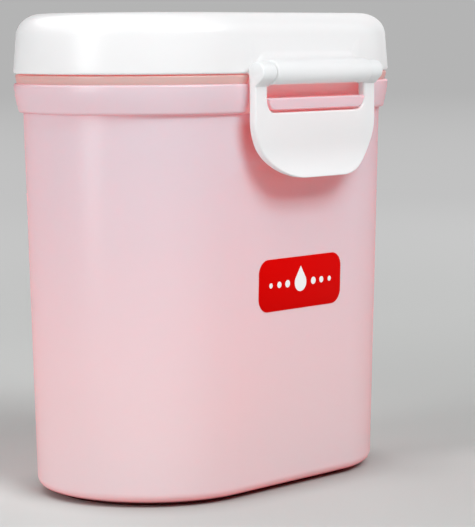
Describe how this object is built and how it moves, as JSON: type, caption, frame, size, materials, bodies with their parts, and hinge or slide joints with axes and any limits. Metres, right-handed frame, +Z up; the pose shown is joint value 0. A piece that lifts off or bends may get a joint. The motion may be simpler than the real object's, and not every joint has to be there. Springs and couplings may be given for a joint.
{
  "type": "milk powder container",
  "caption": "Oblong round-ended storage tub for milk powder, with a rim band, a domed lid, a front flip latch over a hook rib and a small label.",
  "frame": {"origin": "middle of the foot's flat underside, on the surface that the container stands on", "axes": "+Z up, X along the long sides, -Y towards the latch and the label"},
  "size_m": [0.13, 0.0871, 0.1413],
  "materials": {
    "pink_plastic": "smooth moulded plastic with a soft gloss",
    "white_plastic": "smooth moulded plastic with a soft gloss",
    "red_label": "printed film, soft gloss"
  },
  "bodies": {
    "root": {"container_body": "pink_plastic", "lid": "white_plastic", "latch": "white_plastic", "label": "red_label"}
  },
  "joints": []
}
